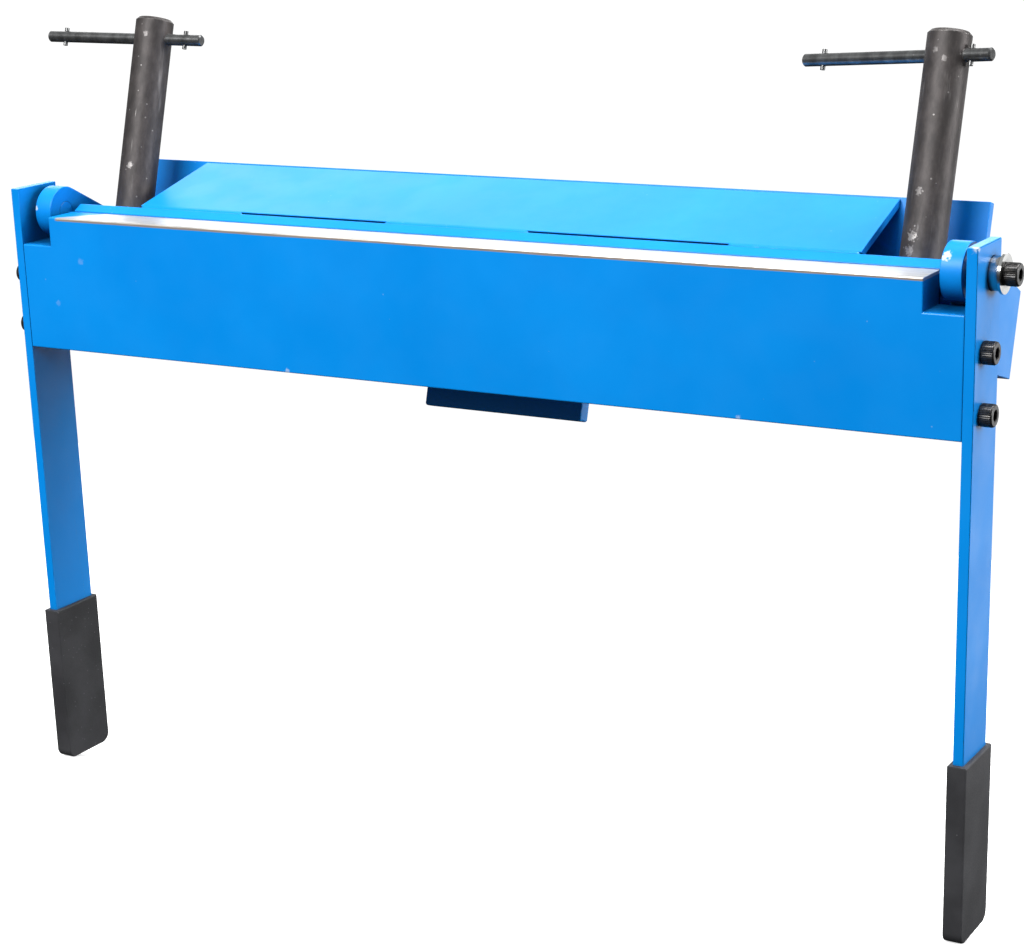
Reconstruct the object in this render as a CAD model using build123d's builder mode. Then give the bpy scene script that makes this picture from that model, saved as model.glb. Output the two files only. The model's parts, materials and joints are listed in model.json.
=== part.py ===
from build123d import *
import math
import os

# Vise-mounted sheet metal bending brake, in millimetres, made from inch stock.
# X runs along the bend line, Y to the rear, Z up. The origin is on the front face of the
# vise tab, in the middle of the part that the vise grips.

INCH = 25.4
SIDES = {"left": -1, "right": 1}

# Working length and the hinge stack at each end
BEND_LENGTH = 24 * INCH
NOTCH_WIDTH = 23.85
EAR_THICK = 0.5 * INCH
BAR_THICK = 0.25 * INCH

# Bending leaf, drawn upright and then swung back about the hinge axis
REST_SWING = 17.0
LEAF_THICK = 1.0 * INCH
LEAF_HEIGHT = 3.5 * INCH
NOTCH_DEPTH = 0.75 * INCH
LEAF_EDGE_BREAK = 0.6

# Handles and their sleeve grips, as heights above the hinge axis
BAR_WIDTH = 1.5 * INCH
BAR_TOP = 17.5
BAR_BOTTOM = -385.5
BAR_CORNER = 5.0
BAR_EDGE_BREAK = 0.5
GRIP_TOP = -277.0
GRIP_WALL = 2.7
GRIP_CORNER = 7.0
GRIP_EDGE = 1.2
HANDLE_SCREW_HEIGHTS = (-41.0, -75.5)

# Bed angle and its ears
BED_DEPTH = 3.5 * INCH
BED_LEG = 2.5 * INCH
BED_THICK = 0.25 * INCH
BED_ROOT = 5.0
BED_SETBACK = 0.5
UNDERCUT = 22.0
EAR_BOSS_RADIUS = 16.5
EAR_HEIGHT = 2.0 * INCH
EDGE_BREAK = 0.8

# Vise tab, welded to the inside of the bed's rear leg
TAB_WIDTH = 4.5 * INCH
TAB_THICK = 0.375 * INCH
TAB_REACH = 4.0 * INCH

# Clamping beam: an angle with a bevelled nose
NOSE_SETBACK = 1.5
NOSE_LAND = 1.0
CLAMP_DEPTH = 3.0 * INCH
CLAMP_THICK = 0.25 * INCH
CLAMP_HEIGHT = 47.6
CLAMP_ROOT = 5.0
STUD_CLEARANCE_RADIUS = 8.75

# Sloped stiffener plate, with an open seam between its stitch welds
SLOPE_THICK = 0.1875 * INCH
SLOPE_FRONT_Y = 8.6
SLOPE_FRONT_Z = 8.0
SLOPE_REAR_DROP = 0.4
SLOPE_FRONT_LENGTH = 509.6
SLOPE_REAR_LENGTH = 501.0
SEAM = 1.0
SEAM_DEPTH = 3.0
FRONT_WELDS = ((-254.0, -172.0), (-62.0, 41.0), (173.0, 254.0))
TOP_WELDS = ((-250.0, -134.0), (5.0, 250.0))
FRONT_BEAD_LEG = 1.6

# Clamp posts, studs and tommy bars
POST_X = 281.0
POST_Y = 34.5
POST_RADIUS = 0.5 * INCH
POST_LENGTH = 130.0
POST_CHAMFER = 1.8
STUD_RADIUS = 0.3125 * INCH
THREAD_FIT = 0.08
STUD_TOP = 96.0
STUD_TAIL = -22.5
POST_BORE_DEPTH = 102.0
NUT_ACROSS = 0.9375 * INCH
NUT_HEIGHT = 13.5
TOMMY_DROP = 13.5
TOMMY_RADIUS = 3.75
TOMMY_LENGTH = 5.0 * INCH
TOMMY_FIT = 0.08
TOMMY_CHAMFER = 0.8
TOMMY_TURN = {"left": 2.0, "right": -13.0}
TOMMY_OFFSET = {"left": -23.5, "right": -34.3}
PIN_RADIUS = 1.5
PIN_LENGTH = 12.0
PIN_INSET = 13.5

# Pivot at each end
PIVOT_RADIUS = 0.25 * INCH
BUSHING_RADIUS = 0.375 * INCH
PIVOT_FIT = 0.06
BUSHING_PROUD = 5.5
BUSHING_GAP = 0.3
PIVOT_PROUD = 0.2
WASHER_RADIUS = 0.4375 * INCH
WASHER_THICK = 1.6

# M8 socket cap screws
SCREW_RADIUS = 4.0
SCREW_HEAD_RADIUS = 6.5
SCREW_HEAD_HEIGHT = 8.0
SCREW_SOCKET = 6.0
SCREW_SOCKET_DEPTH = 4.0
SCREW_CHAMFER = 0.7
HANDLE_SCREW_LENGTH = 25.0
PIVOT_SCREW_LENGTH = 18.0
SCREW_CLEARANCE = 0.4
TAP_ALLOWANCE = 3.0

# Structural weld beads
BEAD_LEG = 4.0
BEAD_CROWN = 0.56

# Worked out from the above
HINGE_Y = TAB_THICK + BED_THICK - BED_DEPTH
HINGE_Z = (TAB_REACH + BED_LEG) / 2
HALF_BEND = BEND_LENGTH / 2
BAR_INNER_X = HALF_BEND + NOTCH_WIDTH
BAR_OUTER_X = BAR_INNER_X + BAR_THICK
EAR_INNER_X = HALF_BEND + (NOTCH_WIDTH - EAR_THICK) / 2
EAR_OUTER_X = EAR_INNER_X + EAR_THICK
PIVOT_END_X = BAR_OUTER_X + BUSHING_PROUD + PIVOT_PROUD
PIVOT_SEAT_X = PIVOT_END_X + WASHER_THICK
UPRIGHT_FRONT_Y = CLAMP_DEPTH - CLAMP_THICK
LEG_FRONT_Y = BED_DEPTH - BED_THICK
TAB_FRONT_Y = LEG_FRONT_Y - TAB_THICK
SWING = math.radians(REST_SWING)
LEAF_REAR = (0, math.cos(SWING), math.sin(SWING))
SLOPE_ANGLE = math.atan2(CLAMP_HEIGHT - SLOPE_REAR_DROP - SLOPE_FRONT_Z, UPRIGHT_FRONT_Y - SLOPE_FRONT_Y)

os.makedirs("parts", exist_ok=True)


def across(x, rear=(0, 1, 0)):
    """Plane square to the bend line, centred on the hinge: x points to the rear, y up."""
    return Plane(origin=(x, HINGE_Y, HINGE_Z), x_dir=rear, z_dir=(1, 0, 0))


def leaf_across(x):
    """The same plane, swung back with the leaf."""
    return across(x, LEAF_REAR)


def level(z):
    """Horizontal plane at height z above the hinge axis."""
    return Plane(origin=(0, HINGE_Y, HINGE_Z + z), x_dir=(1, 0, 0), z_dir=(0, 0, 1))


def outward(sign, x, rear=(0, 1, 0), offset=(0, 0)):
    """Plane at x that faces outward on that side, with its centre at an across() offset."""
    seat = across(sign * x, rear)
    centre = seat.from_local_coords((offset[0], offset[1], 0))
    return Plane(origin=centre, x_dir=rear, z_dir=(sign, 0, 0))


def undercut_y(z):
    """How far back the undercut front of the bed and ears stands at height z."""
    return BED_SETBACK - z * math.tan(math.radians(UNDERCUT))


def bead(leg_x, leg_y):
    """Fillet weld section with its corner at the sketch's origin and a crowned face."""
    with BuildLine() as section:
        Line((0, 0), (leg_x, 0))
        ThreePointArc((leg_x, 0), (leg_x * BEAD_CROWN, leg_y * BEAD_CROWN), (0, leg_y))
        Line((0, leg_y), (0, 0))
    make_face(section.edges())


def cap_screw(length):
    """Socket cap screw under its head on the XY plane, its head towards +Z."""
    with BuildPart() as screw:
        with BuildSketch(Plane.XZ):
            Polygon(
                (0, -length),
                (SCREW_RADIUS - SCREW_CHAMFER, -length),
                (SCREW_RADIUS, -length + SCREW_CHAMFER),
                (SCREW_RADIUS, 0),
                (SCREW_HEAD_RADIUS, 0),
                (SCREW_HEAD_RADIUS, SCREW_HEAD_HEIGHT - SCREW_CHAMFER),
                (SCREW_HEAD_RADIUS - SCREW_CHAMFER, SCREW_HEAD_HEIGHT),
                (0, SCREW_HEAD_HEIGHT),
                align=None,
            )
        revolve(axis=Axis.Z)
        with BuildSketch(Plane.XY.offset(SCREW_HEAD_HEIGHT)):
            RegularPolygon(SCREW_SOCKET / 2, 6, major_radius=False)
        extrude(amount=-SCREW_SOCKET_DEPTH, mode=Mode.SUBTRACT)
    return screw.part


# ---------------------------------------------------------------- bed, the fixed frame

# Bed angle: its top leg carries the work, and its front edge is undercut for the leaf
with BuildPart() as bed_angle:
    with BuildSketch(across(-EAR_INNER_X)):
        Polygon(
            (BED_SETBACK, 0),
            (BED_DEPTH, 0),
            (BED_DEPTH, -BED_LEG),
            (LEG_FRONT_Y, -BED_LEG),
            (LEG_FRONT_Y, -BED_THICK),
            (undercut_y(-BED_THICK), -BED_THICK),
            align=None,
        )
        fillet(vertices().sort_by_distance((LEG_FRONT_Y, -BED_THICK))[0], BED_ROOT)
        fillet(vertices().sort_by_distance((BED_DEPTH, 0))[0], EDGE_BREAK)
    extrude(amount=2 * EAR_INNER_X)
    with BuildSketch(level(0)):
        with Locations(*[(sign * POST_X, POST_Y) for sign in SIDES.values()]):
            Circle(STUD_RADIUS)
    extrude(amount=-BED_THICK, mode=Mode.SUBTRACT)
bed_angle.part.label = "bed_angle"
export_step(bed_angle.part, "parts/bed_angle.step")

# Hinge ears: half-round in front around the pivot, a tapering web behind
for side, sign in SIDES.items():
    tangent = math.acos(EAR_BOSS_RADIUS / BED_DEPTH)
    with BuildPart() as hinge_ear:
        with BuildSketch(across(sign * (EAR_INNER_X + EAR_THICK / 2))):
            Circle(EAR_BOSS_RADIUS)
            Polygon(
                (BED_SETBACK, 0),
                (EAR_BOSS_RADIUS * math.cos(tangent), EAR_BOSS_RADIUS * math.sin(tangent)),
                (BED_DEPTH, 0),
                (BED_DEPTH, -EAR_HEIGHT),
                (undercut_y(-EAR_HEIGHT), -EAR_HEIGHT),
                align=None,
            )
            Circle(PIVOT_RADIUS, mode=Mode.SUBTRACT)
        extrude(amount=EAR_THICK / 2, both=True)
        chamfer(faces().sort_by(Axis.Y)[-1].edges().filter_by(Axis.Z), EDGE_BREAK)
    hinge_ear.part.label = f"hinge_ear_{side}"
    export_step(hinge_ear.part, f"parts/hinge_ear_{side}.step")

# Welds that join the ears to the bed's ends, along the underside of its top leg
with BuildPart() as bed_welds:
    weld_start = undercut_y(-BED_THICK) + BEAD_LEG
    weld_end = LEG_FRONT_Y - BED_ROOT - BEAD_LEG
    for sign in SIDES.values():
        corner = across(sign * EAR_INNER_X).from_local_coords((weld_start, -BED_THICK, 0))
        with BuildSketch(Plane(origin=corner, x_dir=(-sign, 0, 0), z_dir=(0, -sign, 0))):
            bead(BEAD_LEG, BEAD_LEG)
        extrude(amount=-sign * (weld_end - weld_start))
bed_welds.part.label = "bed_welds"
export_step(bed_welds.part, "parts/bed_welds.step")

# Vise tab: flat bar lapped on the inside of the bed's rear leg and reaching below it
with BuildPart() as vise_tab:
    with BuildSketch(across(-TAB_WIDTH / 2)):
        Polygon(
            (TAB_FRONT_Y, -TAB_REACH),
            (LEG_FRONT_Y, -TAB_REACH),
            (LEG_FRONT_Y, -BED_THICK - BED_ROOT),
            (LEG_FRONT_Y - BED_ROOT, -BED_THICK),
            (TAB_FRONT_Y, -BED_THICK),
            align=None,
        )
    extrude(amount=TAB_WIDTH)
    lower_edges = faces().sort_by(Axis.Z)[0].edges()
    chamfer(lower_edges, EDGE_BREAK)
vise_tab.part.label = "vise_tab"
export_step(vise_tab.part, "parts/vise_tab.step")

# Welds down both edges of the tab, against the bed's rear leg
with BuildPart() as tab_welds:
    for sign in SIDES.values():
        corner = level(-BED_LEG).from_local_coords((sign * TAB_WIDTH / 2, LEG_FRONT_Y, 0))
        with BuildSketch(Plane(origin=corner, x_dir=(sign, 0, 0), z_dir=(0, 0, 1))):
            bead(BEAD_LEG, -sign * BEAD_LEG)
        extrude(amount=BED_LEG - BED_THICK - BED_ROOT - BEAD_LEG)
tab_welds.part.label = "tab_welds"
export_step(tab_welds.part, "parts/tab_welds.step")

# Studs that the clamp posts are threaded on, standing through the bed and the beam
for side, sign in SIDES.items():
    with BuildPart() as stud:
        with BuildSketch(level(STUD_TAIL)):
            with Locations((sign * POST_X, POST_Y)):
                Circle(STUD_RADIUS)
        extrude(amount=STUD_TOP - STUD_TAIL)
        chamfer(edges().filter_by(GeomType.CIRCLE), SCREW_CHAMFER)
    stud.part.label = f"stud_{side}"
    export_step(stud.part, f"parts/stud_{side}.step")

# Hex nuts on the studs, welded up against the underside of the bed
with BuildPart() as stud_nuts:
    with BuildSketch(level(-BED_THICK)):
        with Locations(*[(sign * POST_X, POST_Y) for sign in SIDES.values()]):
            RegularPolygon(NUT_ACROSS / 2, 6, major_radius=False)
            Circle(STUD_RADIUS, mode=Mode.SUBTRACT)
    extrude(amount=-NUT_HEIGHT)
    chamfer(edges().filter_by(GeomType.CIRCLE), SCREW_CHAMFER)
stud_nuts.part.label = "stud_nuts"
export_step(stud_nuts.part, "parts/stud_nuts.step")

# Pivot pins: pressed in the ears, tapped in their outer ends for the retaining screws
for side, sign in SIDES.items():
    with BuildPart() as pivot_pin:
        with BuildSketch(outward(sign, EAR_INNER_X)):
            Circle(PIVOT_RADIUS)
        extrude(amount=PIVOT_END_X - EAR_INNER_X)
        chamfer(edges().group_by(Axis.X)[0] + edges().group_by(Axis.X)[-1], PIVOT_PROUD)
        with BuildSketch(outward(sign, PIVOT_END_X)):
            Circle(SCREW_RADIUS)
        extrude(amount=-PIVOT_SCREW_LENGTH, mode=Mode.SUBTRACT)
    pivot_pin.part.label = f"pivot_pin_{side}"
    export_step(pivot_pin.part, f"parts/pivot_pin_{side}.step")

# Bright washers that keep the handles on the pins
with BuildPart() as pivot_washers:
    for sign in SIDES.values():
        with BuildSketch(outward(sign, PIVOT_END_X)):
            Circle(WASHER_RADIUS)
            Circle(SCREW_RADIUS, mode=Mode.SUBTRACT)
        extrude(amount=WASHER_THICK)
pivot_washers.part.label = "pivot_washers"
export_step(pivot_washers.part, "parts/pivot_washers.step")

# Black cap screws in the ends of the pins
pivot_screw = cap_screw(PIVOT_SCREW_LENGTH)
with BuildPart() as pivot_screws:
    with Locations(*[outward(sign, PIVOT_SEAT_X) for sign in SIDES.values()]):
        add(pivot_screw)
pivot_screws.part.label = "pivot_screws"
export_step(pivot_screws.part, "parts/pivot_screws.step")

# ---------------------------------------------------------------- leaf and its handles

# Leaf bar: its top face lies level with the bed when it swings forward to flush
with BuildPart() as leaf_bar:
    with BuildSketch(leaf_across(-BAR_INNER_X)):
        with Locations((-LEAF_THICK, -LEAF_HEIGHT)):
            Rectangle(LEAF_THICK, LEAF_HEIGHT, align=Align.MIN)
    extrude(amount=2 * BAR_INNER_X)
    for sign in SIDES.values():
        with BuildSketch(leaf_across(sign * HALF_BEND)):
            with Locations((-LEAF_THICK, -NOTCH_DEPTH)):
                Rectangle(LEAF_THICK, NOTCH_DEPTH, align=Align.MIN)
        extrude(amount=sign * NOTCH_WIDTH, mode=Mode.SUBTRACT)
    front_face = faces().filter_by(lambda face: face.normal_at().dot(Vector(LEAF_REAR)) < -0.99)
    chamfer(front_face.edges(), LEAF_EDGE_BREAK)
    for sign in SIDES.values():
        for height in HANDLE_SCREW_HEIGHTS:
            with BuildSketch(outward(sign, BAR_INNER_X, LEAF_REAR, (-LEAF_THICK / 2, height))):
                Circle(SCREW_RADIUS)
            extrude(amount=-TAP_ALLOWANCE - HANDLE_SCREW_LENGTH + BAR_THICK, mode=Mode.SUBTRACT)
leaf_bar.part.label = "leaf_bar"
export_step(leaf_bar.part, "parts/leaf_bar.step")

# Handle bars: front edges level with the leaf's front, bored for the pivot bushings
for side, sign in SIDES.items():
    with BuildPart() as handle_bar:
        with BuildSketch(leaf_across(sign * BAR_INNER_X)):
            with Locations((-LEAF_THICK, BAR_BOTTOM)):
                Rectangle(BAR_WIDTH, BAR_TOP - BAR_BOTTOM, align=Align.MIN)
            low_corners = vertices().group_by(Axis.Y)[0]
            fillet(low_corners, BAR_CORNER)
            Circle(BUSHING_RADIUS, mode=Mode.SUBTRACT)
            with Locations(*[(-LEAF_THICK / 2, height) for height in HANDLE_SCREW_HEIGHTS]):
                Circle(SCREW_RADIUS + SCREW_CLEARANCE, mode=Mode.SUBTRACT)
        extrude(amount=sign * BAR_THICK)
        outer_face = faces().sort_by(Axis.X)[-1 if sign > 0 else 0]
        chamfer(outer_face.outer_wire().edges(), BAR_EDGE_BREAK)
    handle_bar.part.label = f"handle_bar_{side}"
    export_step(handle_bar.part, f"parts/handle_bar_{side}.step")

    # Sleeve grip: a closed-end sleeve with rounded lower corners, pushed on the bar
    with BuildPart() as handle_grip:
        with BuildSketch(leaf_across(sign * (BAR_INNER_X - GRIP_WALL))):
            with Locations((-LEAF_THICK - GRIP_WALL, BAR_BOTTOM - GRIP_WALL)):
                Rectangle(BAR_WIDTH + 2 * GRIP_WALL, GRIP_TOP - BAR_BOTTOM + GRIP_WALL, align=Align.MIN)
            low_corners = vertices().group_by(Axis.Y)[0]
            fillet(low_corners, GRIP_CORNER)
        extrude(amount=sign * (BAR_THICK + 2 * GRIP_WALL))
        fillet(faces().sort_by(Axis.X)[0].edges() + faces().sort_by(Axis.X)[-1].edges(), GRIP_EDGE)
        add(handle_bar.part, mode=Mode.SUBTRACT)
    handle_grip.part.label = f"handle_grip_{side}"
    export_step(handle_grip.part, f"parts/handle_grip_{side}.step")

    # Pivot bushing: pressed in the handle, spaces it off the ear and turns on the pin
    with BuildPart() as pivot_bushing:
        with BuildSketch(outward(sign, EAR_OUTER_X + BUSHING_GAP)):
            Circle(BUSHING_RADIUS)
            Circle(PIVOT_RADIUS + PIVOT_FIT, mode=Mode.SUBTRACT)
        extrude(amount=BAR_OUTER_X + BUSHING_PROUD - EAR_OUTER_X - BUSHING_GAP)
    pivot_bushing.part.label = f"pivot_bushing_{side}"
    export_step(pivot_bushing.part, f"parts/pivot_bushing_{side}.step")

# Black cap screws that hold the handles on the leaf's ends
handle_screw = cap_screw(HANDLE_SCREW_LENGTH)
with BuildPart() as handle_screws:
    for sign in SIDES.values():
        for height in HANDLE_SCREW_HEIGHTS:
            with Locations(outward(sign, BAR_OUTER_X, LEAF_REAR, (-LEAF_THICK / 2, height))):
                add(handle_screw)
handle_screws.part.label = "handle_screws"
export_step(handle_screws.part, "parts/handle_screws.step")

# ---------------------------------------------------------------- clamping beam

# Clamp angle: bevelled nose at the bend line, upright leg along the rear
with BuildPart() as clamp_angle:
    with BuildSketch(across(-HALF_BEND)):
        Polygon(
            (NOSE_SETBACK, 0),
            (CLAMP_DEPTH, 0),
            (CLAMP_DEPTH, CLAMP_HEIGHT),
            (UPRIGHT_FRONT_Y, CLAMP_HEIGHT),
            (UPRIGHT_FRONT_Y, CLAMP_THICK),
            (NOSE_SETBACK + CLAMP_THICK - NOSE_LAND, CLAMP_THICK),
            (NOSE_SETBACK, NOSE_LAND),
            align=None,
        )
        fillet(vertices().sort_by_distance((UPRIGHT_FRONT_Y, CLAMP_THICK))[0], CLAMP_ROOT)
        fillet(vertices().sort_by_distance((CLAMP_DEPTH, 0))[0], EDGE_BREAK)
        fillet(vertices().sort_by_distance((CLAMP_DEPTH, CLAMP_HEIGHT))[0], EDGE_BREAK)
    extrude(amount=BEND_LENGTH)
    with BuildSketch(level(0)):
        with Locations(*[(sign * POST_X, POST_Y) for sign in SIDES.values()]):
            Circle(STUD_CLEARANCE_RADIUS)
    extrude(amount=CLAMP_THICK, mode=Mode.SUBTRACT)
clamp_angle.part.label = "clamp_angle"
export_step(clamp_angle.part, "parts/clamp_angle.step")

# Sloped stiffener plate: stands on the flange behind the nose and leans on the upright
with BuildPart() as slope_plate:
    rear_z = CLAMP_HEIGHT - SLOPE_REAR_DROP
    lean = math.tan(SLOPE_ANGLE)
    under_drop = SLOPE_THICK / math.cos(SLOPE_ANGLE)
    foot_z = CLAMP_THICK + SEAM
    foot_y = SLOPE_FRONT_Y + SEAM_DEPTH
    heel_y = SLOPE_FRONT_Y + (CLAMP_THICK - SLOPE_FRONT_Z + under_drop) / lean
    with BuildSketch(across(-SLOPE_FRONT_LENGTH / 2)):
        Polygon(
            (SLOPE_FRONT_Y, foot_z),
            (SLOPE_FRONT_Y, SLOPE_FRONT_Z),
            (UPRIGHT_FRONT_Y - SEAM, rear_z - SEAM * lean),
            (UPRIGHT_FRONT_Y - SEAM, rear_z - SEAM_DEPTH),
            (UPRIGHT_FRONT_Y, rear_z - SEAM_DEPTH),
            (UPRIGHT_FRONT_Y, rear_z - under_drop),
            (heel_y, CLAMP_THICK),
            (foot_y, CLAMP_THICK),
            (foot_y, foot_z),
            align=None,
        )
    extrude(amount=SLOPE_FRONT_LENGTH)
    for sign in SIDES.values():
        front_x = sign * SLOPE_FRONT_LENGTH / 2
        rear_x = sign * SLOPE_REAR_LENGTH / 2
        with BuildSketch(level(0)):
            Polygon(
                (front_x, SLOPE_FRONT_Y),
                (rear_x, UPRIGHT_FRONT_Y),
                (front_x, UPRIGHT_FRONT_Y),
                align=None,
            )
        extrude(amount=CLAMP_HEIGHT, mode=Mode.SUBTRACT)
slope_plate.part.label = "slope_plate"
export_step(slope_plate.part, "parts/slope_plate.step")

# Stitch welds along the plate's front edge and along the upright's top edge
with BuildPart() as slope_welds:
    for start, end in FRONT_WELDS:
        corner = across(start).from_local_coords((SLOPE_FRONT_Y, CLAMP_THICK, 0))
        with BuildSketch(Plane(origin=corner, x_dir=(0, 1, 0), z_dir=(1, 0, 0))):
            bead(-FRONT_BEAD_LEG, SLOPE_FRONT_Z - CLAMP_THICK)
        extrude(amount=end - start)
    for start, end in TOP_WELDS:
        with BuildSketch(across(start)):
            with Locations((UPRIGHT_FRONT_Y - SEAM, rear_z - SEAM_DEPTH)):
                Rectangle(SEAM, SEAM_DEPTH - SEAM * lean, align=Align.MIN)
        extrude(amount=end - start)
slope_welds.part.label = "slope_welds"
export_step(slope_welds.part, "parts/slope_welds.step")

# ---------------------------------------------------------------- clamp posts

for side, sign in SIDES.items():
    post_centre = level(CLAMP_THICK).from_local_coords((sign * POST_X, POST_Y, 0))
    turn = math.radians(TOMMY_TURN[side])
    along = Vector(math.cos(turn), math.sin(turn), 0)
    tommy_centre = post_centre + Vector(0, 0, POST_LENGTH - TOMMY_DROP)
    cross_plane = Plane(origin=tommy_centre, x_dir=(0, 0, 1), z_dir=along)
    bar_plane = cross_plane.offset(TOMMY_OFFSET[side])

    # Post: round bar, tapped from below for the stud and cross-drilled for the tommy bar
    with BuildPart() as clamp_post:
        with BuildSketch(Plane(origin=post_centre)):
            Circle(POST_RADIUS)
        extrude(amount=POST_LENGTH)
        chamfer(edges().group_by(Axis.Z)[-1], POST_CHAMFER)
        with BuildSketch(Plane(origin=post_centre)):
            Circle(STUD_RADIUS + THREAD_FIT)
        extrude(amount=POST_BORE_DEPTH, mode=Mode.SUBTRACT)
        with BuildSketch(cross_plane):
            Circle(TOMMY_RADIUS + TOMMY_FIT)
        extrude(amount=POST_RADIUS, both=True, mode=Mode.SUBTRACT)
    clamp_post.part.label = f"clamp_post_{side}"
    export_step(clamp_post.part, f"parts/clamp_post_{side}.step")

    # Tommy bar: slides through the post, drilled near both ends for its keeper pins
    pin_places = [(end * (TOMMY_LENGTH / 2 - PIN_INSET)) for end in (-1, 1)]
    with BuildPart() as tommy_bar:
        with BuildSketch(bar_plane):
            Circle(TOMMY_RADIUS)
        extrude(amount=TOMMY_LENGTH / 2, both=True)
        chamfer(edges().filter_by(GeomType.CIRCLE), TOMMY_CHAMFER)
        for place in pin_places:
            with BuildSketch(Plane(origin=bar_plane.origin + along * place)):
                Circle(PIN_RADIUS)
            extrude(amount=PIN_LENGTH / 2, both=True, mode=Mode.SUBTRACT)
    tommy_bar.part.label = f"tommy_bar_{side}"
    export_step(tommy_bar.part, f"parts/tommy_bar_{side}.step")

    # Keeper pins: stop the tommy bar from sliding out of the post
    with BuildPart() as tommy_pins:
        for place in pin_places:
            with BuildSketch(Plane(origin=bar_plane.origin + along * place)):
                Circle(PIN_RADIUS)
            extrude(amount=PIN_LENGTH / 2, both=True)
    tommy_pins.part.label = f"tommy_pins_{side}"
    export_step(tommy_pins.part, f"parts/tommy_pins_{side}.step")
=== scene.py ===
import json
import math

import bmesh
import bpy
from mathutils import Matrix, Vector, noise


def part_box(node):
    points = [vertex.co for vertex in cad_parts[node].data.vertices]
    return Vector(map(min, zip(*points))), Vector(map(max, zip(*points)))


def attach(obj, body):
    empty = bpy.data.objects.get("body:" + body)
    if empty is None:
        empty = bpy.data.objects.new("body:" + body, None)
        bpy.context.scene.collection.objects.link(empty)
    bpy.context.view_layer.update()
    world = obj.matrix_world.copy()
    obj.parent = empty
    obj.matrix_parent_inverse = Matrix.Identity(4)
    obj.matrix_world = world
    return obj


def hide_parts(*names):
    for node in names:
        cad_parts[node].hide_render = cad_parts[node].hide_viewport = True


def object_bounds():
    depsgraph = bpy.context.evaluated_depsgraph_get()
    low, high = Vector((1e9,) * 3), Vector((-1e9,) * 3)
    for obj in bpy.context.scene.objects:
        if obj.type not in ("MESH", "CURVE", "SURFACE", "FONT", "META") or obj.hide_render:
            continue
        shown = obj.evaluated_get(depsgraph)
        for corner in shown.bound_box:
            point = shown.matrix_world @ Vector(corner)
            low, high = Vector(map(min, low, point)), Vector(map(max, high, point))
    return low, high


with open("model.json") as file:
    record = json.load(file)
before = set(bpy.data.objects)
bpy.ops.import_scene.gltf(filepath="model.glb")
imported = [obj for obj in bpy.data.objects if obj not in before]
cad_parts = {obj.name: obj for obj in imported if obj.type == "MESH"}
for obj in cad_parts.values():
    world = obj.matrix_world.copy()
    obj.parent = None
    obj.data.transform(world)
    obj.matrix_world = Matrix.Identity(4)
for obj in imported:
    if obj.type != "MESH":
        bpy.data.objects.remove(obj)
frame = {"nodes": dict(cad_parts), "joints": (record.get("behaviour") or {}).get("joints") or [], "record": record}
cad_low, cad_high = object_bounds()
NODES = frame["nodes"]
BODIES = frame["record"]["behaviour"]["bodies"]
BODY_OF = {node: body for body, nodes in BODIES.items() for node in nodes}
HINGE = Vector(next(j["pos_m"] for j in frame["joints"] if j["name"] == "leaf_swing"))
MM = 0.001

# The leaf hangs swung back about the hinge line, which is its top rear edge.
# These are the leaf's own rear and up directions and its thickness, and half the length of a full bend.
SWING = math.radians(17.0)
LEAF_REAR = Vector((0, math.cos(SWING), math.sin(SWING)))
LEAF_UP = Vector((0, -math.sin(SWING), math.cos(SWING)))
LEAF_THICK = 25.4 * MM
HALF_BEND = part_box("clamp_angle")[1].x


# ------------------------------------------------------------------ node helpers

# A Mix node has sockets of one name for each kind of value, so they are chosen by number
MIX_FACTOR = 0
MIX_NUMBERS = (2, 3)
MIX_NUMBER_OUT = 0
MIX_COLOURS = (6, 7)
MIX_COLOUR_OUT = 2


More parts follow.
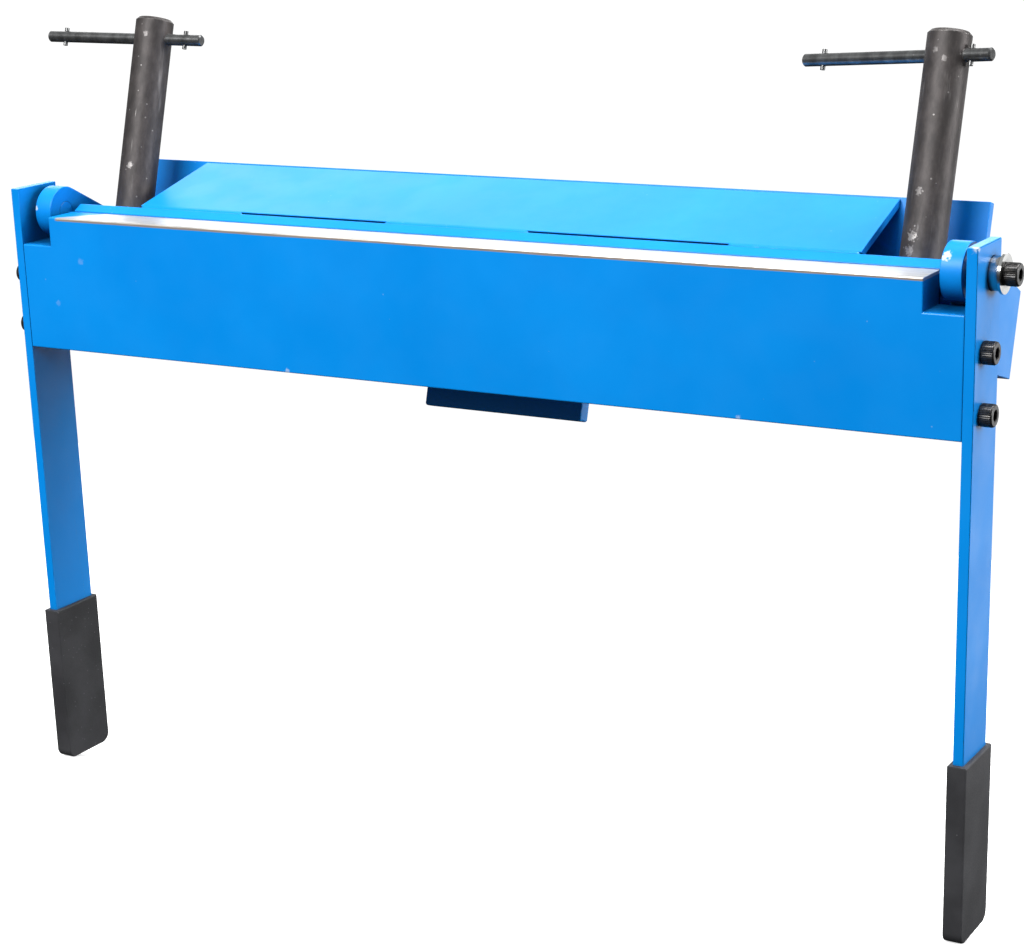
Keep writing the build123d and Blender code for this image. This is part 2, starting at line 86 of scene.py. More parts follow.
class Graph:
    """A material's node tree with short calls for what repeats. Noise scales are in cycles per metre."""

    def __init__(self, name):
        self.material = bpy.data.materials.new(name)
        self.material.use_nodes = True
        self.tree = self.material.node_tree
        self.tree.nodes.clear()
        out = self.tree.nodes.new("ShaderNodeOutputMaterial")
        self.shader = self.tree.nodes.new("ShaderNodeBsdfPrincipled")
        self.link(self.shader.outputs[0], out.inputs["Surface"])
        self.coords = self.tree.nodes.new("ShaderNodeTexCoord").outputs["Object"]

    def link(self, source, target):
        self.tree.links.new(source, target)

    def put(self, socket, value):
        """Feeds a socket from another one, or sets it to a plain number or colour."""
        if isinstance(value, bpy.types.NodeSocket):
            self.link(value, socket)
        elif isinstance(value, (tuple, list)) and len(value) == 3 and socket.type == "RGBA":
            socket.default_value = (*value, 1.0)
        else:
            socket.default_value = value

    def set(self, **values):
        """Sets the shader's inputs, with _ for each space in a name."""
        for name, value in values.items():
            self.put(self.shader.inputs[name.replace("_", " ")], value)

    def math(self, operation, a, b=0.0):
        node = self.tree.nodes.new("ShaderNodeMath")
        node.operation = operation
        self.put(node.inputs[0], a)
        self.put(node.inputs[1], b)
        return node.outputs[0]

    def scaled(self, value, by):
        return self.math("MULTIPLY", value, by)

    def vector_math(self, operation, a, b):
        node = self.tree.nodes.new("ShaderNodeVectorMath")
        node.operation = operation
        for socket, value in zip(node.inputs, (a, b)):
            self.put(socket, value)
        return node.outputs["Value"]

    def along(self, direction, origin=(0, 0, 0)):
        """Distance along a direction from an origin, in the object's own coordinates."""
        offset = Vector(direction).dot(Vector(origin))
        return self.math("SUBTRACT", self.vector_math("DOT_PRODUCT", self.coords, direction), offset)

    def ragged_spot(self, point, radius, grain=430):
        """1 on a small spot with a ragged outline, for knocked places and for a painted highlight."""
        middle = self.ramp(self.vector_math("DISTANCE", self.coords, point), radius, 0.0)
        centred = self.math("SUBTRACT", self.noise(grain, 4, rough=0.6), 0.5)
        ragged = self.math("ADD", middle, self.scaled(centred, 1.9))
        return self.ramp(ragged, 0.50, 0.85)

    def ramp(self, value, low, high, to_low=0.0, to_high=1.0):
        """Eases from to_low at low to to_high at high. low may be the larger of the two."""
        node = self.tree.nodes.new("ShaderNodeMapRange")
        node.interpolation_type = "SMOOTHSTEP"
        self.put(node.inputs["Value"], value)
        flip = low > high
        node.inputs["From Min"].default_value = min(low, high)
        node.inputs["From Max"].default_value = max(low, high)
        node.inputs["To Min"].default_value = to_high if flip else to_low
        node.inputs["To Max"].default_value = to_low if flip else to_high
        return node.outputs["Result"]

    def noise(self, scale, detail=3.0, stretch=(1, 1, 1), rough=0.5, offset=(0, 0, 0)):
        mapping = self.tree.nodes.new("ShaderNodeMapping")
        mapping.inputs["Scale"].default_value = stretch
        mapping.inputs["Location"].default_value = offset
        self.link(self.coords, mapping.inputs["Vector"])
        node = self.tree.nodes.new("ShaderNodeTexNoise")
        node.inputs["Scale"].default_value = scale
        node.inputs["Detail"].default_value = detail
        node.inputs["Roughness"].default_value = rough
        self.link(mapping.outputs[0], node.inputs["Vector"])
        return node.outputs["Fac"]

    def specks(self, scale, radius, share):
        """Small round specks in a share of the cells of a Voronoi pattern."""
        node = self.tree.nodes.new("ShaderNodeTexVoronoi")
        node.inputs["Scale"].default_value = scale
        self.link(self.coords, node.inputs["Vector"])
        spot = self.ramp(node.outputs["Distance"], radius, radius * 0.6)
        split = self.tree.nodes.new("ShaderNodeSeparateColor")
        self.link(node.outputs["Color"], split.inputs[0])
        chosen = self.math("LESS_THAN", split.outputs[0], share)
        return self.math("MULTIPLY", spot, chosen)

    def edges(self, radius):
        """1 along sharp edges, 0 on flat faces, from how far a rounded normal leaves the true one."""
        bevel = self.tree.nodes.new("ShaderNodeBevel")
        bevel.samples = 4
        bevel.inputs["Radius"].default_value = radius
        geometry = self.tree.nodes.new("ShaderNodeNewGeometry")
        agreement = self.vector_math("DOT_PRODUCT", bevel.outputs[0], geometry.outputs["Normal"])
        return self.ramp(agreement, 0.985, 0.86)

    def painted_shade(self, distance):
        """1 in the open, falling to 0 deep in corners and between parts, where the colour is darkened as painted
        shade.
        """
        node = self.tree.nodes.new("ShaderNodeAmbientOcclusion")
        node.samples = 4
        node.inputs["Distance"].default_value = distance
        return self.ramp(node.outputs["AO"], 0.25, 0.90)

    def mixed(self, kind, factor, pair, sockets, out):
        node = self.tree.nodes.new("ShaderNodeMix")
        node.data_type = kind
        self.put(node.inputs[MIX_FACTOR], factor)
        for socket, value in zip(sockets, pair):
            self.put(node.inputs[socket], value)
        return node.outputs[out]

    def mix(self, factor, a, b):
        """Mixes two colours."""
        return self.mixed("RGBA", factor, (a, b), MIX_COLOURS, MIX_COLOUR_OUT)

    def blend(self, factor, a, b):
        """Mixes two numbers."""
        return self.mixed("FLOAT", factor, (a, b), MIX_NUMBERS, MIX_NUMBER_OUT)

    def bump(self, height, strength, distance):
        node = self.tree.nodes.new("ShaderNodeBump")
        node.inputs["Strength"].default_value = strength
        node.inputs["Distance"].default_value = distance
        self.link(height, node.inputs["Height"])
        self.link(node.outputs[0], self.shader.inputs["Normal"])


# ------------------------------------------------------------------ materials

BLUE = (0.0, 0.262, 0.80)
BLUE_LIGHT = (0.004, 0.315, 0.90)
BLUE_DEEP = (0.0, 0.225, 0.70)
# The deep blue that painted shade darkens the enamel to in corners and between parts
BLUE_PAINTED_SHADE = (0.0, 0.085, 0.26)
PRIMER = (0.36, 0.62, 0.78)
# The pale paint of knocked places, also used for a painted highlight on the left ear
CHIP_AND_GLINT_PALE = (0.66, 0.74, 0.80)
STEEL_GROUND = (0.54, 0.53, 0.51)
STEEL_GROUND_LIGHT = (0.76, 0.75, 0.73)
STEEL_BROWN = (0.50, 0.40, 0.33)
EDGE_WEAR = 0.35


def enamel(name, chips=(), bare=None):
    """Blue enamel: faint runs and mottling, orange peel, nibs, worn edges, and painted shade that darkens its
    corners.
    chips are (point, radius, strength) places where the paint is knocked; the left ear's one is a painted
    highlight instead. bare makes two masks, of where the steel is ground bare and of where that steel is brown."""
    g = Graph(name)
    mottle = g.noise(14, 4)
    cloud = g.noise(3.5, 2, offset=(1.7, 0.4, 2.2))
    colour = g.mix(g.ramp(mottle, 0.3, 0.8, to_high=0.6), BLUE, BLUE_LIGHT)
    colour = g.mix(g.ramp(cloud, 0.45, 0.75, to_high=0.35), colour, BLUE_DEEP)
    nibs = g.specks(260, radius=0.15, share=0.012)
    colour = g.mix(g.scaled(nibs, 0.30), colour, PRIMER)
    nicks = g.ramp(g.noise(230, 3, rough=0.65), 0.60, 0.68)
    worn = g.scaled(g.math("MULTIPLY", g.edges(0.9 * MM), nicks), EDGE_WEAR)
    colour = g.mix(worn, colour, PRIMER)
    # Pale knocked spots; on the left ear the spot is a painted highlight
    for point, radius, strength in chips:
        spot = g.scaled(g.ragged_spot(point, radius), strength)
        colour = g.mix(spot, colour, CHIP_AND_GLINT_PALE)
        worn = g.math("MAXIMUM", worn, spot)
    # Painted shade: the enamel is darkened towards deep blue in corners, notches and between parts
    colour = g.mix(g.painted_shade(34 * MM), BLUE_PAINTED_SHADE, colour)
    peel = g.noise(850, 2)
    runs = g.noise(60, 2)
    height = g.math("ADD", g.scaled(peel, 0.5), g.scaled(runs, 0.8))
    height = g.math("SUBTRACT", height, g.scaled(worn, 0.8))
    rough = g.ramp(g.noise(40, 3), 0.3, 0.7, 0.30, 0.40)
    metallic = 0.0
    if bare is not None:
        mask, brown = bare(g)
        grind = g.noise(60, 3, stretch=(1, 26, 26))
        metal = g.mix(g.ramp(grind, 0.35, 0.7), STEEL_GROUND, STEEL_GROUND_LIGHT)
        metal = g.mix(brown, metal, STEEL_BROWN)
        colour = g.mix(mask, colour, metal)
        rough = g.blend(mask, rough, g.ramp(grind, 0.3, 0.7, 0.30, 0.42))
        metallic = g.blend(mask, 0.0, 0.55)
        height = g.blend(mask, height, grind)
    g.set(Base_Color=colour, Roughness=rough, Metallic=metallic, Specular_IOR_Level=0.28)
    g.bump(height, strength=0.12, distance=0.35 * MM)
    return g.material


def leaf_bare(g):
    """Ground steel on the leaf's top edge: over its whole top face between the notches, down to a ragged
    line on its front face, and drawn to a point at the left end."""
    up = g.along(LEAF_UP, HINGE)
    rear = g.along(LEAF_REAR, HINGE)
    x = g.along((1, 0, 0))
    centred = g.math("SUBTRACT", g.noise(18, 2, stretch=(1, 0.2, 0.2)), 0.5)
    waver = g.scaled(centred, 1.0 * MM)
    band = g.ramp(g.math("ADD", up, waver), -2.3 * MM, -1.8 * MM)
    slant = g.scaled(g.math("ADD", rear, LEAF_THICK), 0.9)
    left_end = g.math("ADD", slant, 5 * MM - HALF_BEND)
    left = g.ramp(g.math("SUBTRACT", g.math("ADD", x, waver), left_end), 0.0, 2.5 * MM)
    right = g.ramp(x, HALF_BEND + 0.5 * MM, HALF_BEND - 0.5 * MM)
    mask = g.math("MULTIPLY", band, g.math("MULTIPLY", left, right))
    brown = g.ramp(up, -0.2 * MM, -1.0 * MM, to_high=0.8)
    return mask, brown


def pin_bare(g):
    """The pivot pins are painted over with the ears at their inner ends, and bare outside the ears."""
    ear_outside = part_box("hinge_ear_right")[1].x
    out = g.math("ABSOLUTE", g.along((1, 0, 0)))
    return g.ramp(out, ear_outside - 0.5 * MM, ear_outside + 0.5 * MM), 0.1


def dark_steel(name, base, light, rough, metallic, chips=(), bumpy=0.10):
    """Black-finished round stock: mottled scale, long drawn scratches and rubbed spots."""
    g = Graph(name)
    mottle = g.noise(120, 6, stretch=(1, 1, 0.45), rough=0.68)
    pale_scale = tuple(c * 2.1 for c in base)
    colour = g.mix(g.ramp(mottle, 0.35, 0.7), base, pale_scale)
    streaks = g.ramp(g.noise(90, 4, stretch=(1, 1, 0.12), rough=0.7), 0.60, 0.74)
    fine = g.ramp(g.noise(420, 3, stretch=(1, 1, 0.08)), 0.66, 0.72)
    patches = g.ramp(g.noise(22, 2), 0.42, 0.62)
    scratches = g.math("MULTIPLY", g.math("MAXIMUM", streaks, fine), patches)
    dots = g.specks(330, radius=0.22, share=0.10)
    rubbed = g.math("MAXIMUM", g.scaled(scratches, 0.55), g.scaled(dots, 0.45))
    broken = g.ramp(g.noise(160, 3), 0.45, 0.6, 0.15, 0.75)
    rubbed = g.math("MAXIMUM", rubbed, g.math("MULTIPLY", g.edges(0.8 * MM), broken))
    for point, radius, strength in chips:
        rubbed = g.math("MAXIMUM", rubbed, g.scaled(g.ragged_spot(point, radius, grain=700), strength))
    colour = g.mix(rubbed, colour, light)
    g.set(Base_Color=colour, Roughness=g.blend(rubbed, rough, 0.34), Metallic=g.blend(rubbed, metallic, 0.85))
    g.bump(g.math("ADD", mottle, g.scaled(rubbed, -0.4)), strength=bumpy, distance=0.5 * MM)
    return g.material


def oiled_black(name):
    """Black oxide on machined screws: near black, with a soft oily sheen."""
    g = Graph(name)
    turned = g.noise(600, 2)
    colour = g.mix(g.ramp(turned, 0.4, 0.7), (0.010, 0.010, 0.011), (0.035, 0.032, 0.030))
    colour = g.mix(g.scaled(g.edges(0.5 * MM), 0.5), colour, (0.22, 0.21, 0.20))
    g.set(Base_Color=colour, Roughness=g.ramp(g.noise(150, 2), 0.3, 0.7, 0.24, 0.36), Metallic=0.6)
    g.bump(turned, strength=0.12, distance=0.2 * MM)
    return g.material


def bright_steel(name):
    """Turned and plated rings: fine tool marks, a few dull patches, and painted dark shade where they meet other
    parts.
    """
    g = Graph(name)
    marks = g.noise(900, 2, stretch=(3, 1, 1))
    dull = g.noise(60, 3)
    colour = g.mix(g.ramp(dull, 0.4, 0.7), (0.62, 0.62, 0.60), (0.47, 0.47, 0.46))
    # Painted shade: the rings turn near black where they meet other parts
    colour = g.mix(g.painted_shade(9 * MM), (0.07, 0.07, 0.08), colour)
    g.set(Base_Color=colour, Roughness=g.ramp(dull, 0.3, 0.7, 0.14, 0.26), Metallic=1.0)
    g.bump(marks, strength=0.10, distance=0.1 * MM)
    return g.material


def bare_steel(name):
    """Plain machined steel with a light bloom of tarnish."""
    g = Graph(name)
    tarnish = g.noise(120, 4)
    colour = g.mix(g.ramp(tarnish, 0.45, 0.75), (0.50, 0.49, 0.47), (0.26, 0.22, 0.18))
    g.set(Base_Color=colour, Roughness=g.ramp(tarnish, 0.3, 0.7, 0.28, 0.5), Metallic=0.95)
    g.bump(g.noise(700, 2), strength=0.12, distance=0.1 * MM)
    return g.material


def grip_vinyl(name):
    """Matte black vinyl: fine leathery grain, dusty bloom and rubbed corners."""
    g = Graph(name)
    grain = g.noise(1400, 3)
    bloom = g.noise(25, 4)
    colour = g.mix(g.ramp(bloom, 0.35, 0.7), (0.030, 0.030, 0.033), (0.052, 0.052, 0.057))
    colour = g.mix(g.scaled(g.edges(1.4 * MM), 0.35), colour, (0.16, 0.16, 0.17))
    dust = g.specks(420, radius=0.2, share=0.05)
    colour = g.mix(g.scaled(dust, 0.4), colour, (0.25, 0.25, 0.26))
    g.set(Base_Color=colour, Roughness=g.ramp(grain, 0.3, 0.7, 0.55, 0.68), Specular_IOR_Level=0.4)
    g.bump(g.math("ADD", grain, g.scaled(bloom, 0.6)), strength=0.25, distance=0.25 * MM)
    return g.material


# ------------------------------------------------------------------ mesh helpers

SAME_POINT = 1e-6
FLAT_ANGLE = math.radians(1.0)
HARD_ANGLE = math.radians(28.0)


def add_piece(name, mesh, node, material):
    """Puts a mesh in the scene in place of a CAD node, on the same body and material slot."""
    piece = bpy.data.objects.new(name, mesh)
    bpy.context.scene.collection.objects.link(piece)
    piece.data.materials.append(material)
    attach(piece, BODY_OF[node])
    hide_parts(node)
    return piece


def repaint(node, material):
    """Gives a CAD node a better material."""
    NODES[node].data.materials.clear()
    NODES[node].data.materials.append(material)


def joined_mesh(node):
    """A CAD node's mesh to work on, with its triangles' shared corners joined."""
    bm = bmesh.new()
    bm.from_mesh(NODES[node].data)
    bmesh.ops.remove_doubles(bm, verts=bm.verts, dist=SAME_POINT)
    return bm


def soften(node, material, width):
    """Shows a CAD node by a copy with its hard edges rounded over, as paint and handling leave them."""
    bm = joined_mesh(node)
    bmesh.ops.dissolve_limit(bm, angle_limit=FLAT_ANGLE, verts=bm.verts, edges=bm.edges)
    hard = [e for e in bm.edges if len(e.link_faces) == 2 and e.calc_face_angle(0.0) > HARD_ANGLE]
    bmesh.ops.bevel(bm, geom=hard, offset=width, offset_type="OFFSET", segments=2, profile=0.5,
                    affect="EDGES", clamp_overlap=False, loop_slide=True)
    for face in bm.faces:
        face.smooth = True
    mesh = bpy.data.meshes.new(node + "_finished")
    bm.to_mesh(mesh)
    bm.free()
    piece = add_piece(node + "_finished", mesh, node, material)
    weighted = piece.modifiers.new("weighted", "WEIGHTED_NORMAL")
    weighted.keep_sharp = True


def islands(node):
    """The separate solids in a CAD node's mesh, each as a list of points, in the mesh's own order."""
    bm = joined_mesh(node)
    seen = set()
    found = []
    for start in bm.verts:
        if start in seen:
            continue
        seen.add(start)
        waiting = [start]
        points = []
        while waiting:
            vertex = waiting.pop()
            points.append(vertex.co.copy())
            for edge in vertex.link_edges:
                other = edge.other_vert(vertex)
                if other not in seen:
                    seen.add(other)
                    waiting.append(other)
        found.append(points)
    bm.free()
    return found


def box_of(points):
    low = Vector([min(p[i] for p in points) for i in range(3)])
    high = Vector([max(p[i] for p in points) for i in range(3)])
    return low, high


def skin(verts, faces, rings):
    """Joins rings of equal length into a closed skin, with a face over each end."""
    base = len(verts)
    count = len(rings[0])
    for ring in rings:
        verts.extend(ring)
    for row in range(len(rings) - 1):
        a = base + row * count
        b = a + count
        for i in range(count):
            j = (i + 1) % count
            faces.append((a + i, a + j, b + j, b + i))
    last = base + (len(rings) - 1) * count
    faces.append(tuple(base + i for i in reversed(range(count))))
    faces.append(tuple(last + i for i in range(count)))


def finish_mesh(name, verts, faces, sharp_degrees):
    """A mesh with consistent outward normals, smooth but for its sharp edges."""
    mesh = bpy.data.meshes.new(name)
    mesh.from_pydata(verts, [], faces)
    bm = bmesh.new()
    bm.from_mesh(mesh)
    bmesh.ops.recalc_face_normals(bm, faces=bm.faces)
    for face in bm.faces:
        face.smooth = True
    sharp = math.radians(sharp_degrees)
    for edge in bm.edges:
        edge.smooth = len(edge.link_faces) == 2 and edge.calc_face_angle(0.0) < sharp
    bm.to_mesh(mesh)
    bm.free()
    return mesh


# ------------------------------------------------------------------ welds

FILLET_POWER = 1.673       # 1 is a full quarter round, 2 is a flat slope
SEAM_POWER = 0.4           # nearly square, for a bead that fills a seam
RIPPLE_DEPTH = 0.13        # these three are shares of the bead's own size
UNEVEN = 0.025
SMALLEST_END = math.sqrt(0.06)
UNEVEN_LENGTH = 7 * MM
RUN_SPREAD = 50            # cycles per metre from run to run, so that no two runs are alike
TAPER_LEGS = 1.5           # a run's ends taper over this many legs of its section
CORNER_NEAR = 0.01 * MM
ROWS_A_RIPPLE = 5
BEAD_STEPS = 8


def bead_rings(points):
    """The rings of one weld run with overlapping ripples, inside the section of the CAD's own bead.
    Each ring fans out from the bead's root to its face."""
    low, high = box_of(points)
    run = max(range(3), key=lambda i: high[i] - low[i])
    u, v = [i for i in range(3) if i != run]
    corners = [(cu, cv) for cu in (low[u], high[u]) for cv in (low[v], high[v])]
    held = [c for c in corners if any(abs(p[u] - c[0]) + abs(p[v] - c[1]) < CORNER_NEAR for p in points)]
    # A fillet fills three corners of its box, and its face cuts off the open one
    if len(held) == 3:
        power = FILLET_POWER
        open_u, open_v = next(c for c in corners if c not in held)
    else:
        power = SEAM_POWER
        open_u, open_v = low[u], high[v]
    root_u = low[u] + high[u] - open_u
    root_v = low[v] + high[v] - open_v
    leg = min(high[u] - low[u], high[v] - low[v])
    length = high[run] - low[run]
    pitch = 0.35 * leg + 0.7 * MM
    rows = int(length / (pitch / ROWS_A_RIPPLE))

    def bead_point(t, across, along):
        point = [0, 0, 0]
        point[run] = low[run] + t
        point[u] = root_u + (open_u - root_u) * across
        point[v] = root_v + (open_v - root_v) * along
        return tuple(point)

    rings = []
    for row in range(rows + 1):
        t = length * row / rows
        from_end = min(1.0, min(t, length - t) / (TAPER_LEGS * leg))
        swell = max(SMALLEST_END, math.sqrt(1 - (1 - from_end) ** 2))
        place = Vector((t / UNEVEN_LENGTH, low[u] * RUN_SPREAD, low[v] * RUN_SPREAD))
        swell *= 1 - UNEVEN + UNEVEN * noise.noise(place)
        ring = [bead_point(t, 0, 0)]
        for step in range(BEAD_STEPS + 1):
            angle = math.radians(90) * step / BEAD_STEPS
            phase = (t - 0.5 * leg * math.sin(2 * angle)) / pitch
            size = swell * (1 - RIPPLE_DEPTH * (1 - abs(math.sin(math.pi * phase))))
            across = size * max(0.0, math.cos(angle)) ** power
            along = size * max(0.0, math.sin(angle)) ** power
            ring.append(bead_point(t, across, along))
        rings.append(ring)
    return rings


def rippled_welds(node, material):
    """Shows a node's weld runs by rippled beads."""
    verts, faces = [], []
    for points in islands(node):
        skin(verts, faces, bead_rings(points))
    add_piece(node + "_rippled", finish_mesh(node + "_rippled", verts, faces, 60.0), node, material)


# ------------------------------------------------------------------ threads and screws

THREAD_PITCH = 2.309 * MM
THREAD_DEPTH = 1.25 * MM
THREAD_LEAD_IN = 0.9 * MM
THREAD_CREST = 0.12        # the crest's and the flanks' shares of half a pitch; the rest is the root
THREAD_FLANK = 0.66
STUD_AROUND = 40
ROWS_A_TURN = 8

HEAD_RADIUS = 6.5 * MM
HEAD_HEIGHT = 8.0 * MM
SHANK_RADIUS = 4.0 * MM
SOCKET_RADIUS = 3.0 * MM
SOCKET_DEPTH = 4.0 * MM
KNURL_DEPTH = 0.22 * MM
SCREW_AROUND = 72


def threaded_stud(node, material):
    """Shows a node by a rod with a cut thread along its whole length, its crests on the CAD's radius."""
    low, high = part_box(node)
    centre = (low + high) / 2
    radius = (high.x - low.x) / 2
    rows = int((high.z - low.z) / (THREAD_PITCH / ROWS_A_TURN))
    rings = []
    for row in range(rows + 1):
        z = low.z + (high.z - low.z) * row / rows
        from_end = min(z - low.z, high.z - z)
        crest = min(radius, radius - THREAD_LEAD_IN + from_end)
        ring = []
        for i in range(STUD_AROUND):
            turn = i / STUD_AROUND
            wave = abs(2 * ((z / THREAD_PITCH - turn) % 1.0) - 1)
            cut = THREAD_DEPTH * min(1.0, max(0.0, (wave - THREAD_CREST) / THREAD_FLANK))
            r = min(crest, radius - cut)
            angle = 2 * math.pi * turn
            ring.append((centre.x + r * math.cos(angle), centre.y + r * math.sin(angle), z))
        rings.append(ring)
    verts, faces = [], []
    skin(verts, faces, rings)
    add_piece(node + "_threaded", finish_mesh(node + "_threaded", verts, faces, 50.0), node, material)


def circle(radius):
    """The radii round a screw where it is round."""
    return [radius] * SCREW_AROUND


def hexagon(half_flats):
    """The radii round a screw's hexagon socket."""
    sixth = math.pi / 3
    turns = [2 * math.pi * i / SCREW_AROUND for i in range(SCREW_AROUND)]
    return [half_flats / math.cos((turn + sixth / 2) % sixth - sixth / 2) for turn in turns]


def screw_profile(length):
    """A cap screw's (depth below its face, radii around it) from the bottom of its socket to its tip."""
    socket = hexagon(SOCKET_RADIUS)
    knurl = [HEAD_RADIUS - (KNURL_DEPTH if i % 2 else 0.0) for i in range(SCREW_AROUND)]
    groove = circle(HEAD_RADIUS - KNURL_DEPTH)
    return [
        (SOCKET_DEPTH + 1.2 * MM, circle(0.05 * MM)),
        (SOCKET_DEPTH, socket),
        (0.35 * MM, socket),
        (0.0, [r + 0.35 * MM for r in socket]),
        (0.0, circle(HEAD_RADIUS - 0.7 * MM)),
        (0.25 * MM, circle(HEAD_RADIUS - 0.35 * MM)),
        (0.75 * MM, groove),
        (1.0 * MM, knurl),
        (HEAD_HEIGHT - 0.9 * MM, knurl),
        (HEAD_HEIGHT - 0.65 * MM, groove),
        (HEAD_HEIGHT - 0.2 * MM, groove),
        (HEAD_HEIGHT, circle(HEAD_RADIUS - 0.5 * MM)),
        (HEAD_HEIGHT, circle(SHANK_RADIUS)),
        (length - 0.7 * MM, circle(SHANK_RADIUS)),
        (length, circle(SHANK_RADIUS - 0.7 * MM)),
    ]


def knurled_screws(node, material):
    """Socket cap screws with knurled heads, standing where the CAD's plain ones do."""
    verts, faces = [], []
    for points in islands(node):
        low, high = box_of(points)
        centre = (low + high) / 2
        side = 1 if centre.x > 0 else -1
        face_x = high.x if side > 0 else low.x
        rings = []
        for depth, radii in screw_profile(high.x - low.x):
            ring = []
            for i, r in enumerate(radii):
                angle = 2 * math.pi * i / SCREW_AROUND
                y = centre.y + r * math.cos(angle)
                z = centre.z + r * math.sin(angle)
                ring.append((face_x - side * depth, y, z))
            rings.append(ring)
        skin(verts, faces, rings)
    add_piece(node + "_knurled", finish_mesh(node + "_knurled", verts, faces, 25.0), node, material)


# ------------------------------------------------------------------ camera, light and stage

CAMERA_PLACE = (0.7505, -1.31, -0.0477)
CAMERA_AZIMUTH = 29.098    # degrees, turned left from looking along +Y
CAMERA_DOWN = 2.695        # degrees below the horizon
CAMERA_ROLL = 6.765        # degrees
CAMERA_LENS = 83.25
CAMERA_SHIFT = 0.0952
FLOOR_HALF = 12.0
FLOOR_GAP = 0.5 * MM


def make_camera():
    data = bpy.data.cameras.new("camera")
    camera = bpy.data.objects.new("camera", data)
    bpy.context.scene.collection.objects.link(camera)
    turn = Matrix.Rotation(math.radians(CAMERA_AZIMUTH), 4, "Z")
    tilt = Matrix.Rotation(math.radians(90 - CAMERA_DOWN), 4, "X")
    roll = Matrix.Rotation(math.radians(CAMERA_ROLL), 4, "Z")
    camera.matrix_world = Matrix.Translation(CAMERA_PLACE) @ turn @ tilt @ roll
    data.sensor_width = 36.0
    data.lens = CAMERA_LENS
    data.shift_y = CAMERA_SHIFT
    data.clip_start = 0.05
    data.clip_end = 100
    bpy.context.scene.camera = camera


def area_light(name, place, target, size, power):
    """A soft rectangular light at a place, facing a target."""
    data = bpy.data.lights.new(name, "AREA")
    data.shape = "RECTANGLE"
    data.size, data.size_y = size
    data.energy = power
    light = bpy.data.objects.new(name, data)
    bpy.context.scene.collection.objects.link(light)
    light.location = place
    light.rotation_mode = "QUATERNION"
    light.rotation_quaternion = (Vector(target) - Vector(place)).to_track_quat("-Z", "Y")


def make_stage():
    """A plain pale floor under the object, which glows a little so that it stays white under soft light."""
    mesh = bpy.data.meshes.new("floor")
    corners = [(x * FLOOR_HALF, y * FLOOR_HALF, 0) for x, y in ((-1, -1), (1, -1), (1, 1), (-1, 1))]
    mesh.from_pydata(corners, [], [(0, 1, 2, 3)])
    floor = bpy.data.objects.new("floor", mesh)
    bpy.context.scene.collection.objects.link(floor)
    floor.location = (0, 0, cad_low.z - FLOOR_GAP)
    g = Graph("pale_floor")
    tone = g.mix(g.ramp(g.noise(0.8, 2), 0.3, 0.7), (0.90, 0.90, 0.90), (0.93, 0.93, 0.93))
    g.set(Base_Color=tone, Roughness=0.9, Specular_IOR_Level=0.1, Emission_Color=(1, 1, 1))
    away = g.vector_math("DISTANCE", g.coords, (0, 0, 0))
    g.set(Emission_Strength=g.ramp(away, 0.5, 1.6, 0.62, 1.05))
    mesh.materials.append(g.material)
    floor.visible_diffuse = False
    floor.visible_glossy = False


def make_world():
    """White to the camera, and for lighting a soft grey that brightens from below to above."""
    world = bpy.data.worlds.new("world")
    bpy.context.scene.world = world
    world.use_nodes = True
    tree = world.node_tree
    tree.nodes.clear()
    out = tree.nodes.new("ShaderNodeOutputWorld")
    mix = tree.nodes.new("ShaderNodeMixShader")
    path = tree.nodes.new("ShaderNodeLightPath")
    lit = tree.nodes.new("ShaderNodeBackground")
    seen = tree.nodes.new("ShaderNodeBackground")
    sky = tree.nodes.new("ShaderNodeTexCoord").outputs["Generated"]
    split = tree.nodes.new("ShaderNodeSeparateXYZ")
    tree.links.new(sky, split.inputs[0])
    height = tree.nodes.new("ShaderNodeMapRange")
    for socket, value in {"From Min": -0.35, "From Max": 0.75, "To Min": 0.05, "To Max": 0.50}.items():
        height.inputs[socket].default_value = value
    tree.links.new(split.outputs["Z"], height.inputs["Value"])
    tree.links.new(height.outputs["Result"], lit.inputs["Strength"])
    lit.inputs["Color"].default_value = (0.95, 0.98, 1.0, 1)
    seen.inputs["Color"].default_value = (1, 1, 1, 1)
    seen.inputs["Strength"].default_value = 1.05
    tree.links.new(path.outputs["Is Camera Ray"], mix.inputs[0])
    tree.links.new(lit.outputs[0], mix.inputs[1])
    tree.links.new(seen.outputs[0], mix.inputs[2])
    tree.links.new(mix.outputs[0], out.inputs["Surface"])


make_camera()
make_stage()
make_world()
area_light("key", place=(-0.5, -2.6, 1.05), target=(0, 0, 0), size=(1.8, 0.9), power=96)
area_light("overhead", place=(0.6, -0.1, 2.4), target=(0, 0, 0), size=(1.8, 1.2), power=68)
area_light("rear", place=(-1.0, 1.4, 1.15), target=(0, 0, 0), size=(2.0, 0.9), power=13)
area_light("side", place=(2.2, 0.35, 0.65), target=(0.2, 0, -0.1), size=(0.9, 0.9), power=30)
area_light("haze", place=(1.15, 1.95, 0.15), target=(0.3, 0, 0), size=(1.3, 1.0), power=4.5)
bpy.context.scene.view_settings.view_transform = "Standard"


# ------------------------------------------------------------------ finishes

def from_hinge(x, y, z):
    """A place in millimetres from the middle of the hinge line."""
    return HINGE + Vector((x, y, z)) * MM


def on_leaf(x, down):
    """A place on the leaf's front face, in millimetres from its middle and its top edge."""
    return HINGE - LEAF_REAR * LEAF_THICK - LEAF_UP * (down * MM) + Vector((x * MM, 0, 0))


def on_post(side, x, up):
    """A place on the front of a clamp post, in millimetres from its centreline and the hinge line."""
    low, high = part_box(f"clamp_post_{side}")
    return Vector(((low.x + high.x) / 2 + x * MM, low.y, HINGE.z + up * MM))
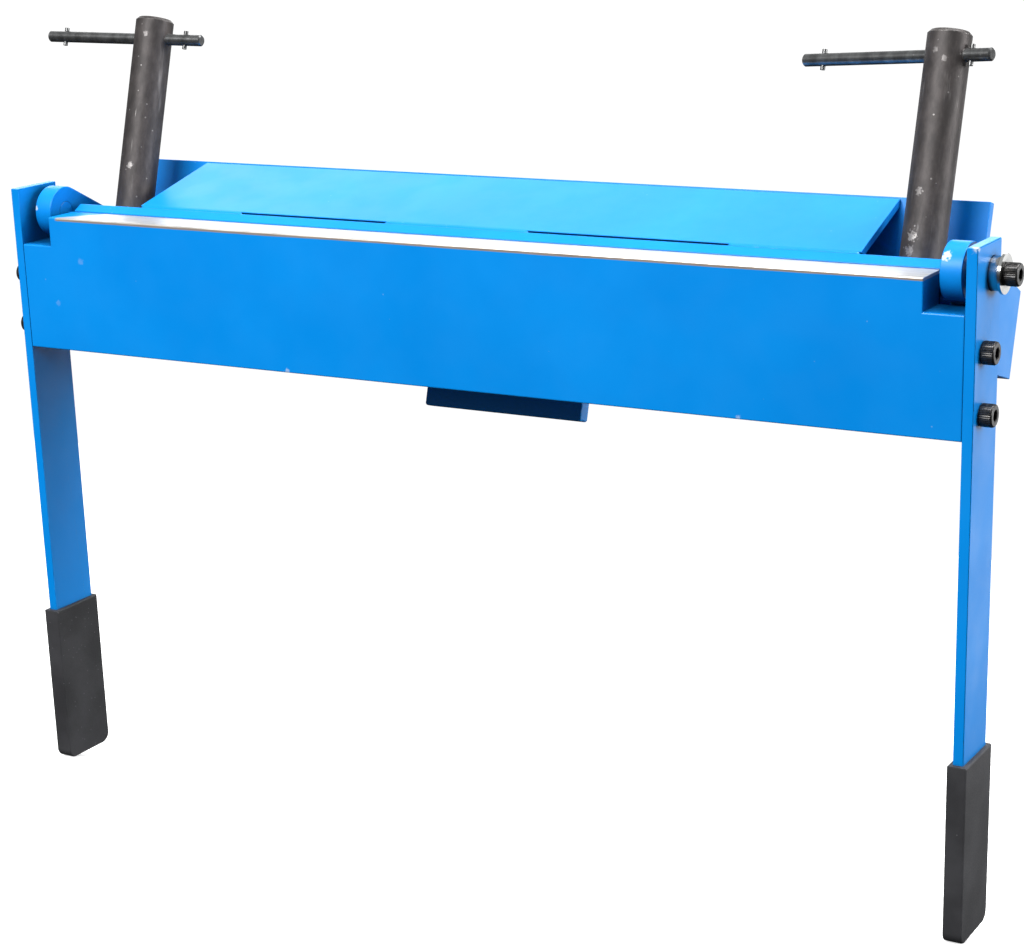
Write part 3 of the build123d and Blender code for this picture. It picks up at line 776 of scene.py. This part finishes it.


# Each row is a knocked place's point, radius and strength; the left ear's row is a painted highlight, a pale glint
# drawn like a chip
leaf_chips = [
    (on_leaf(-280, 28), 5.0 * MM, 0.12),
    (on_leaf(-302, 57), 4.0 * MM, 0.10),
    (on_leaf(-118, 88), 4.5 * MM, 0.45),
    (on_leaf(196, 88), 4.0 * MM, 0.40),
]
ear_chip_and_glint = [
    (from_hinge(313.0, -15.4, 5.8), 6.0 * MM, 0.9),
    # Painted highlight: a pale glint on the left ear's boss, drawn as a chip
    (from_hinge(-322.5, -16.2, -1.0), 3.4 * MM, 0.95),
]
beam_chips = [(from_hinge(278.0, 21.5, 6.5), 7.0 * MM, 0.8)]
bar_corner = HINGE + LEAF_UP * (16.5 * MM) - LEAF_REAR * (23.5 * MM) + Vector((333.5 * MM, 0, 0))
bar_chips = [(bar_corner, 5.5 * MM, 0.8)]
post_marks = [
    (on_post("left", 2, 36), 5.0 * MM, 0.6),
    (on_post("left", 3, 124), 4.5 * MM, 0.35),
    (on_post("right", -3, 20), 7.0 * MM, 0.75),
    (on_post("right", -4, 12), 6.5 * MM, 0.45),
    (on_post("right", -2, 45), 5.0 * MM, 0.4),
    (on_post("right", -3, 124), 4.0 * MM, 0.35),
    (on_post("right", 3, 119), 4.0 * MM, 0.35),
]

paint = enamel("blue_enamel")
leaf_paint = enamel("blue_enamel_leaf", leaf_chips, leaf_bare)
ear_paint = enamel("blue_enamel_ears", ear_chip_and_glint)
beam_paint = enamel("blue_enamel_beam", beam_chips)
bar_paint = enamel("blue_enamel_bars", bar_chips)
pin_finish = enamel("painted_pin_end", bare=pin_bare)
post_finish = dark_steel("scuffed_black_post", base=(0.036, 0.031, 0.030), light=(0.42, 0.40, 0.39),
                         rough=0.52, metallic=0.35, chips=post_marks)
tommy_finish = dark_steel("black_tommy_bar", base=(0.085, 0.086, 0.086), light=(0.34, 0.34, 0.33),
                          rough=0.30, metallic=0.75, bumpy=0.05)
screw_finish = oiled_black("oiled_black_screw")
ring_finish = bright_steel("plated_ring")
steel_finish = bare_steel("machined_steel")
vinyl = grip_vinyl("grip_vinyl")

soften("leaf_bar", leaf_paint, 0.45 * MM)
for side in ("left", "right"):
    soften(f"handle_bar_{side}", bar_paint, 0.45 * MM)
    soften(f"hinge_ear_{side}", ear_paint, 0.6 * MM)
    repaint(f"handle_grip_{side}", vinyl)
    repaint(f"pivot_bushing_{side}", ring_finish)
    repaint(f"pivot_pin_{side}", pin_finish)
    repaint(f"clamp_post_{side}", post_finish)
    repaint(f"tommy_bar_{side}", tommy_finish)
    repaint(f"tommy_pins_{side}", tommy_finish)
    threaded_stud(f"stud_{side}", steel_finish)
# The beam's nose is 1 mm thick, so each of its two edges is rounded by less than 0.5 mm
soften("clamp_angle", beam_paint, 0.4 * MM)
soften("slope_plate", paint, 0.3 * MM)
soften("bed_angle", paint, 0.5 * MM)
soften("vise_tab", paint, 0.6 * MM)
for node in ("bed_welds", "tab_welds", "slope_welds"):
    rippled_welds(node, paint)
for node in ("pivot_screws", "handle_screws"):
    knurled_screws(node, screw_finish)
repaint("stud_nuts", paint)
repaint("pivot_washers", ring_finish)
